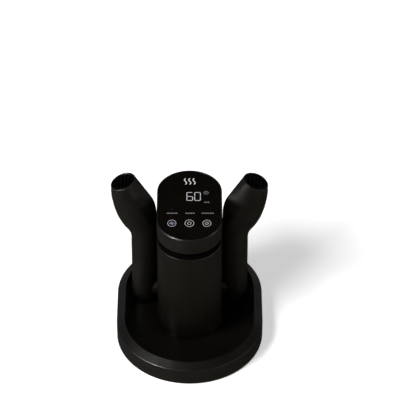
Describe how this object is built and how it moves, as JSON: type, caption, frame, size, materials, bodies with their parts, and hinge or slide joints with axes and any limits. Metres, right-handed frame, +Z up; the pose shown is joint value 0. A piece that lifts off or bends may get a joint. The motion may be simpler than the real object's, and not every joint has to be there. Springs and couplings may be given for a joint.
{
  "type": "boot dryer",
  "caption": "Warm-air boot dryer: oval tray base, round-ended fan tower with a touch panel on top, and two side ducts with flared nozzle heads.",
  "frame": {"origin": "on the floor, under the middle of the oval base", "axes": "+Z up, -Y to the front where the panel's icons read upright, +X to the right seen from the front"},
  "size_m": [0.2168, 0.2652, 0.2312],
  "materials": {
    "shell": "satin moulded",
    "trim": "matte moulded",
    "panel": "polished",
    "rubber": "matte",
    "steel": "zinc plated",
    "contact": "nickel plated",
    "board": "solder mask",
    "indicator": "clear moulded",
    "pad": "matte",
    "bronze": "sintered",
    "winding": "enamelled",
    "magnet": "matte",
    "heat_plastic": "matte moulded",
    "heater_metal": "mill",
    "white_plastic": "satin moulded",
    "relay_blue": "satin moulded",
    "can_sleeve": "satin",
    "cable": "satin"
  },
  "bodies": {
    "root": {"base_tray": "shell", "base_plate": "trim", "rubber_feet": "rubber", "base_screws": "steel", "tower_shell": "shell", "rear_cover": "shell", "tower_screws": "steel", "intake_grille": "trim", "cap_shell": "shell", "cap_screws": "steel", "touch_panel": "panel", "display_board": "board", "digit_display": "trim", "indicator_leds": "indicator", "touch_pads": "pad", "buzzer": "trim", "fan_frame": "trim", "fan_bearing": "bronze", "fan_stator": "winding", "fan_screws": "steel", "heater_housing": "heat_plastic", "heater_bars": "heater_metal", "heater_fins": "heater_metal", "thermal_cutout": "white_plastic", "air_splitter": "heat_plastic", "power_board": "board", "power_transformer": "winding", "power_relay": "relay_blue", "filter_capacitor": "can_sleeve", "mains_inlet": "trim", "inlet_pins": "contact", "mains_leads": "cable", "display_ribbon": "cable", "ribbon_headers": "white_plastic", "left_duct_front": "shell", "left_duct_rear": "shell", "right_duct_front": "shell", "right_duct_rear": "shell", "left_nozzle_grille": "trim", "right_nozzle_grille": "trim", "duct_gaskets": "rubber", "duct_screws": "steel"},
    "impeller": {"fan_impeller": "trim", "rotor_magnet": "magnet", "fan_shaft": "steel"}
  },
  "joints": [
    {"name": "fan_spin", "type": "hinge", "parent": "root", "child": "impeller", "pos_m": [0, 0.0196, 0.13], "axis": [0, 0, 1], "continuous": true}
  ]
}
